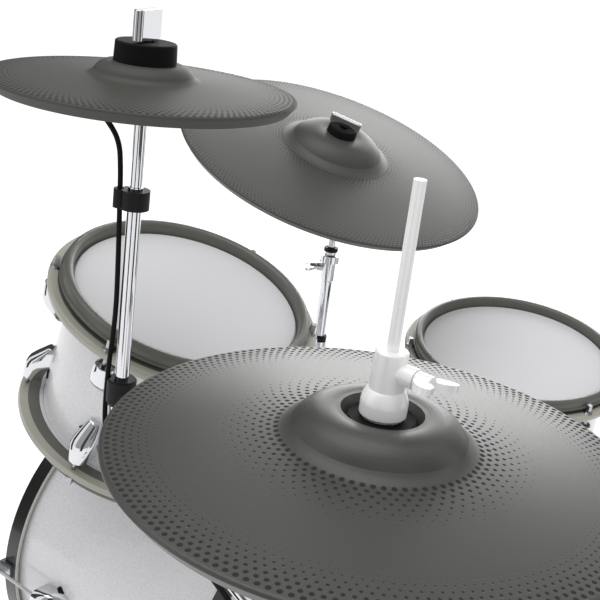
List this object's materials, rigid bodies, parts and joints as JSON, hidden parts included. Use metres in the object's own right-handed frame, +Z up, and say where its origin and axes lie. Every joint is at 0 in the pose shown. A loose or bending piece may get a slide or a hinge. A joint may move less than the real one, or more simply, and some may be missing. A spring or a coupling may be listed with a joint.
{
  "type": "electronic drum kit",
  "caption": "Electronic drum kit: kick, rack tom, floor tom and snare with mesh heads, and rubber hi-hat, crash and ride pads on chrome stands",
  "frame": {"origin": "On the floor under the middle of the kick's batter hoop, on the flat underside of its rubber foot.", "axes": "+X to the player's right, +Y away from the player along the kick, +Z up."},
  "size_m": [1.4735, 1.224, 1.1167],
  "materials": {
    "shell_wrap": "white sparkle wrap under clear lacquer",
    "hoop_rubber": "matte moulded rubber over a metal hoop",
    "kick_hoop": "black lacquer with a pale inlay",
    "mesh": "woven mesh",
    "chrome": "polished",
    "steel": "satin",
    "pad_rubber": "matte with fine dimples",
    "black_rubber": "matte",
    "black_plastic": "matte",
    "foam": "matte foam",
    "cast": "satin black"
  },
  "bodies": {
    "kit": {"crash_arm": "chrome", "crash_cable": "black_rubber", "crash_cable_coil": "black_rubber", "crash_collar": "black_plastic", "crash_plug": "black_plastic", "drum_triggers": "foam", "floor_tom_heads": "mesh", "floor_tom_hoops": "hoop_rubber", "floor_tom_leg_brackets": "chrome", "floor_tom_legs": "chrome", "floor_tom_lugs": "chrome", "floor_tom_shell": "shell_wrap", "floor_tom_tension_rods": "chrome", "hat_frame": "chrome", "hat_sensor": "black_plastic", "hat_upper_tube": "chrome", "kick_brackets": "chrome", "kick_heads": "mesh", "kick_hoops": "kick_hoop", "kick_lugs": "chrome", "kick_shell": "shell_wrap", "kick_tension_rods": "chrome", "ride_base_tube": "chrome", "ride_upper_tube": "chrome", "snare_heads": "mesh", "snare_hoops": "hoop_rubber", "snare_lugs": "chrome", "snare_shell": "shell_wrap", "snare_stand": "chrome", "snare_tension_rods": "chrome", "stand_feet": "black_rubber", "stand_legs": "chrome"},
    "spur_left": {"kick_spur_left": "chrome"},
    "spur_right": {"kick_spur_right": "chrome"},
    "tom_post": {"tom_post": "chrome"},
    "tom": {"tom_shell": "shell_wrap", "tom_hoops": "hoop_rubber", "tom_heads": "mesh", "tom_lugs": "chrome", "tom_tension_rods": "chrome", "tom_trigger": "foam", "tom_bracket": "chrome"},
    "hat_moving": {"hat_pull_rod": "chrome", "hat_clutch": "chrome", "hat_pad": "pad_rubber", "hat_bush": "black_rubber"},
    "hat_clutch_wing": {"hat_clutch_wing": "chrome"},
    "footboard": {"hat_footboard": "steel"},
    "crash_rod": {"crash_rod": "chrome", "crash_cable_clip": "black_plastic"},
    "crash_pad": {"crash_pad": "pad_rubber", "crash_stopper": "black_rubber"},
    "crash_nut": {"crash_nut": "chrome"},
    "crash_wing": {"crash_wing": "chrome"},
    "ride_rod": {"ride_height_rod": "chrome"},
    "ride_tilter": {"ride_tilter": "chrome"},
    "ride_pad": {"ride_pad": "pad_rubber", "ride_stopper": "black_rubber"},
    "ride_nut": {"ride_nut": "chrome"},
    "ride_wing": {"ride_wing": "chrome"}
  },
  "joints": [
    {"name": "spur_left_fold", "type": "hinge", "parent": "kit", "child": "spur_left", "pos_m": [-0.2473, 0.33, 0.15], "axis": [-1, 0, 0], "range_deg": [0, 80]},
    {"name": "spur_right_fold", "type": "hinge", "parent": "kit", "child": "spur_right", "pos_m": [0.2473, 0.33, 0.15], "axis": [-1, 0, 0], "range_deg": [0, 80]},
    {"name": "tom_height", "type": "slide", "parent": "kit", "child": "tom_post", "axis": [0, 0, 1], "range_m": [0, 0.06]},
    {"name": "tom_tilt", "type": "hinge", "parent": "tom_post", "child": "tom", "pos_m": [0.06171, 0.11823, 0.63851], "axis": [0.9624, -0.2715, 0], "range_deg": [-16, 1.5]},
    {"name": "footboard_press", "type": "hinge", "parent": "kit", "child": "footboard", "pos_m": [-0.44561, -0.67794, 0.026], "axis": [-0.891, -0.454, 0], "range_deg": [0, 4.4], "stiffness_Nm_per_rad": 20, "springref_deg": -25.78},
    {"name": "hat_pull", "type": "slide", "parent": "kit", "child": "hat_moving", "axis": [0, 0, -1], "range_m": [0, 0.02258]},
    {"name": "clutch_wing_turn", "type": "hinge", "parent": "hat_moving", "child": "hat_clutch_wing", "pos_m": [-0.575, -0.424, 0.96184], "axis": [0, -1, 0], "continuous": true},
    {"name": "crash_height", "type": "slide", "parent": "kit", "child": "crash_rod", "axis": [0, 0, 1], "range_m": [0, 0.05], "deforming": ["crash_cable"]},
    {"name": "crash_rock", "type": "hinge", "parent": "crash_rod", "child": "crash_pad", "pos_m": [-0.369, 0.032, 1.05558], "axis": [-0.6346, 0.7729, 0], "range_deg": [-4, 4], "stiffness_Nm_per_rad": 2, "deforming": ["crash_cable"]},
    {"name": "crash_nut_turn", "type": "hinge", "parent": "crash_rod", "child": "crash_nut", "pos_m": [-0.369, 0.032, 1.08], "axis": [0, 0, 1], "continuous": true},
    {"name": "crash_wing_turn", "type": "hinge", "parent": "kit", "child": "crash_wing", "pos_m": [-0.369, 0.032, 0.68], "axis": [0.8, 0.6, 0], "continuous": true},
    {"name": "ride_height", "type": "slide", "parent": "kit", "child": "ride_rod", "axis": [0, 0, 1], "range_m": [-0.08, 0.08]},
    {"name": "ride_tilt", "type": "hinge", "parent": "ride_rod", "child": "ride_tilter", "pos_m": [0.307, 0.264, 0.812], "axis": [0.9804, -0.1972, 0], "range_deg": [-18, 12]},
    {"name": "ride_rock", "type": "hinge", "parent": "ride_tilter", "child": "ride_pad", "pos_m": [0.294, 0.26807, 0.88149], "axis": [0.9804, -0.1972, 0], "range_deg": [-4, 4], "stiffness_Nm_per_rad": 12, "springref_deg": 1.43},
    {"name": "ride_nut_turn", "type": "hinge", "parent": "ride_tilter", "child": "ride_nut", "pos_m": [0.294, 0.26807, 0.88149], "axis": [-0.0604, -0.3003, 0.9519], "continuous": true},
    {"name": "ride_wing_turn", "type": "hinge", "parent": "kit", "child": "ride_wing", "pos_m": [0.307, 0.264, 0.661], "axis": [-0.6342, 0.7732, 0], "continuous": true}
  ],
  "couplings": [
    {"joint": "hat_pull", "follows": "footboard_press", "m_per_rad": 0.29399}
  ]
}
